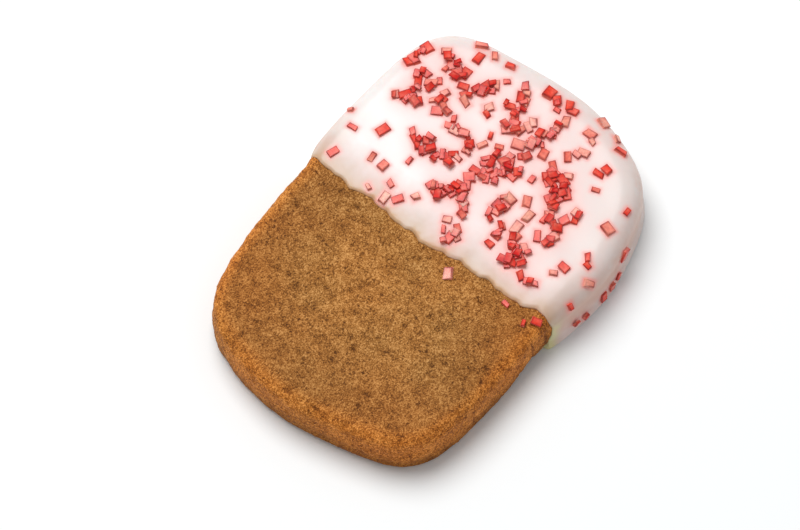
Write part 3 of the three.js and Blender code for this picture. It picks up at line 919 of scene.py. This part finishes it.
def drawn_crystal(draw, seat):
    """The size, corners and place of one crystal, by the same draws as the solids use."""
    point, normal = seat
    sugar = settings().sugar
    shortest, longest = mm(sugar.shortest), mm(sugar.longest)
    length = between((shortest, longest), draw())
    width = length * between(CRYSTAL_ASPECT, draw())
    thickness = between(CRYSTAL_THICKNESS, draw())
    turn = math.pi * draw()
    tilts = [CRYSTAL_TILT * (2 * draw() - 1) for _ in range(2)]
    chips = [1 - CRYSTAL_CHIP * draw() ** 3 for _ in range(8)]
    tilt = Matrix.Rotation(tilts[0], 3, "X") @ Matrix.Rotation(tilts[1], 3, "Y")
    spin = tilt @ Matrix.Rotation(turn, 3, "Z")
    lean = Vector((0, 0, 1)).rotation_difference(normal).to_matrix()
    return {
        "size": (length, width, thickness),
        "chips": chips,
        "turn": lean @ spin,
        "centre": point + normal * (thickness * CRYSTAL_RISE),
        "normal": normal,
    }


def crystals(form):
    """Every crystal that the solids have, and the seeded ones that lie on others."""
    draw = make_draw(SUGAR_SEED)
    places = top_places(form, draw)
    seats = [seat_on_top(form.glaze_top, place.x, place.y) for place in places]
    seats += [seat_on_side(form, degrees, z) for degrees, z in SIDE_CRYSTALS]
    seats += [seat_on_top(form.biscuit_top, x, y) for x, y in BARE_CRYSTALS]
    made = [drawn_crystal(draw, seat) for seat in seats]
    for crystal in made:
        near = [1 for other in made if (other["centre"] - crystal["centre"]).length < CROWD_RADIUS]
        crystal["crowd"] = len(near) - 1
    chance = random.Random(STACK_SEED)
    crowded = [crystal for crystal in made if crystal["crowd"] >= STACK_CROWD]
    for below in chance.sample(crowded, min(settings().sugar.stacked, len(crowded))):
        aside = [chance.uniform(-STACK_ASIDE, STACK_ASIDE) for _ in range(2)]
        point = below["centre"] + Vector((*aside, 0)) + below["normal"] * (below["size"][2] * STACK_RISE)
        leans = [chance.uniform(-STACK_LEAN, STACK_LEAN) for _ in range(2)]
        stacked = drawn_crystal(chance.random, (point, Vector((*leans, 1)).normalized()))
        stacked["size"] = tuple(size * STACK_SCALE for size in stacked["size"])
        stacked["crowd"] = below["crowd"] + 2
        made.append(stacked)
    return made


class GINGERSNAP_OT_sugar(bpy.types.Operator):
    """Scatter the red sugar crystals"""

    bl_idname = "gingersnap.sugar"
    bl_label = "Sugar crystals"

    def execute(self, context):
        bm = bmesh.new()
        layer = bm.verts.layers.float_color.new("sugar_colour")
        chance = random.Random(COLOUR_SEED)
        for crystal in crystals(Form()):
            self.add_crystal(bm, layer, crystal, chance)
        mesh = bpy.data.meshes.new("sugar")
        bm.to_mesh(mesh)
        bm.free()
        add_piece("sugar_crystals", mesh, sugar_material(), ["glaze", "biscuit"], smooth=False)
        return {"FINISHED"}

    @staticmethod
    def add_crystal(bm, layer, crystal, chance):
        """One tablet with chipped corners, bevelled edges and a paler middle, with a painted shade along its
        rim and painted light in its lower sides.
        """
        look = settings().sugar
        verts = bmesh.ops.create_cube(bm, size=1.0)["verts"]
        for vert in verts:
            corner = (vert.co.x > 0) + 2 * (vert.co.y > 0) + 4 * (vert.co.z > 0)
            chip = crystal["chips"][corner]
            length, width, thickness = crystal["size"]
            vert.co = (vert.co.x * length * chip, vert.co.y * width * chip, vert.co.z * thickness)
        edges = list({edge for vert in verts for edge in vert.link_edges})
        rounding = mm(look.edge_rounding)
        rounded = bmesh.ops.bevel(
            bm, geom=edges, offset=rounding, segments=1, profile=0.5, affect="EDGES", material=-1
        )
        verts = rounded["verts"]
        faces = {face for vert in verts for face in vert.link_faces}
        top = max(faces, key=lambda face: face.calc_center_median().z)
        bmesh.ops.inset_individual(bm, faces=[top], thickness=look.rim_share * crystal["size"][1], depth=0.0)

        salmon, pale, deep = (Vector(colour) for colour in (look.salmon, look.pale, look.deep))
        body = salmon
        if crystal["crowd"] < FULL_CROWD and chance.random() < 0.36:
            body = salmon.lerp(pale, chance.uniform(0.3, 1.4))
        crowding = min(max(crystal["crowd"] - 1, 0) / FULL_CROWD, 1) * chance.uniform(0.2, 1.0)
        body = body.lerp(deep, crowding)
        inner = set(top.verts)
        shaded = chance.uniform(0, math.tau)
        shadow = Vector((math.cos(shaded), math.sin(shaded)))
        # Painted light and shade: the top is deeper on the side of the painted shadow and paler on the other,
        # the rim is a painted shade darkest on that side, and the lower sides are painted pale as light
        # glowing through the sugar.
        for vert in [*verts, *inner]:
            facing = vert.co.xy.normalized().dot(shadow)
            if vert in inner:
                colour = body.lerp(deep if facing > 0 else pale, 0.35 * abs(facing))
            elif vert.co.z > 0:
                colour = body.lerp(Vector(look.rim), 0.62 + 0.32 * facing)
            else:
                colour = body.lerp(pale, 0.6)
            vert[layer] = (*colour, 1.0)
        place = Matrix.Translation(crystal["centre"]) @ crystal["turn"].to_4x4()
        bmesh.ops.transform(bm, matrix=place, verts=[*verts, *inner])


class GINGERSNAP_OT_studio(bpy.types.Operator):
    """Set up the floor, the lights and the camera"""

    bl_idname = "gingersnap.studio"
    bl_label = "Studio"

    def execute(self, context):
        self.add_floor(context)
        self.add_lights(context)
        self.add_camera(context)
        context.scene.view_settings.view_transform = "Standard"
        return {"FINISHED"}

    @staticmethod
    def add_floor(context):
        bm = bmesh.new()
        place = Matrix.Translation((0, 0, -FLOOR_DROP))
        bmesh.ops.create_grid(bm, x_segments=1, y_segments=1, size=FLOOR_REACH, matrix=place)
        mesh = bpy.data.meshes.new("floor")
        bm.to_mesh(mesh)
        bm.free()
        material, tree, surface = new_material("pale_floor")
        look = {"Base Color": (*settings().studio.floor, 1), "Roughness": 0.9, "Specular IOR Level": 0.1}
        add_surface(tree, surface, look)
        mesh.materials.append(material)
        floor = bpy.data.objects.new("floor", mesh)
        context.scene.collection.objects.link(floor)

    @staticmethod
    def add_lights(context):
        studio = settings().studio
        world = bpy.data.worlds.new("studio")
        world.use_nodes = True
        world.node_tree.nodes["Background"].inputs["Color"].default_value = (1, 1, 1, 1)
        world.node_tree.nodes["Background"].inputs["Strength"].default_value = studio.sky
        context.scene.world = world
        key = bpy.data.lights.new("key", "AREA")
        key.shape = "DISK"
        key.size = studio.key_size
        key.energy = studio.key_watts
        lamp = bpy.data.objects.new("key", key)
        lamp.location = KEY_PLACE
        lamp.rotation_euler = lamp.location.to_track_quat("Z", "Y").to_euler()
        context.scene.collection.objects.link(lamp)

    @staticmethod
    def add_camera(context):
        """A long lens, so that the frame at the biscuit is as wide as the settings say."""
        studio = settings().studio
        back = Vector((
            math.sin(studio.azimuth) * math.cos(studio.elevation),
            -math.cos(studio.azimuth) * math.cos(studio.elevation),
            math.sin(studio.elevation),
        ))
        right = Vector((math.cos(studio.azimuth), math.sin(studio.azimuth), 0))
        up = back.cross(right)
        data = bpy.data.cameras.new("camera")
        data.lens = data.sensor_width * studio.distance / studio.frame_width
        data.clip_end = 10
        camera = bpy.data.objects.new("camera", data)
        target = right * studio.aside + up * studio.above
        camera.location = target + back * studio.distance
        camera.rotation_euler = back.to_track_quat("Z", "Y").to_euler()
        context.scene.collection.objects.link(camera)
        context.scene.camera = camera


class GINGERSNAP_PT_panel(bpy.types.Panel):
    """Lists the settings and the steps of the gingersnap"""

    bl_idname = "GINGERSNAP_PT_panel"
    bl_label = "Glazed gingersnap"
    bl_space_type = "VIEW_3D"
    bl_region_type = "UI"
    bl_category = "Gingersnap"

    def draw(self, context):
        for step, group in STEPS:
            box = self.layout.box()
            box.operator(step.bl_idname)
            values = getattr(context.scene.gingersnap, group)
            for name in type(values).__annotations__:
                box.prop(values, name)


STEPS = (
    (GINGERSNAP_OT_studio, "studio"),
    (GINGERSNAP_OT_biscuit, "biscuit"),
    (GINGERSNAP_OT_glaze, "glaze"),
    (GINGERSNAP_OT_sugar, "sugar"),
)
CLASSES = (
    BiscuitSettings,
    GlazeSettings,
    SugarSettings,
    StudioSettings,
    GingersnapSettings,
    *(step for step, _ in STEPS),
    GINGERSNAP_PT_panel,
)


def register():
    for kind in CLASSES:
        bpy.utils.register_class(kind)
    bpy.types.Scene.gingersnap = PointerProperty(type=GingersnapSettings)


def unregister():
    del bpy.types.Scene.gingersnap
    for kind in reversed(CLASSES):
        bpy.utils.unregister_class(kind)


def main():
    register()
    bpy.ops.gingersnap.studio()
    bpy.ops.gingersnap.biscuit()
    bpy.ops.gingersnap.glaze()
    bpy.ops.gingersnap.sugar()


if __name__ == "__main__":
    main()
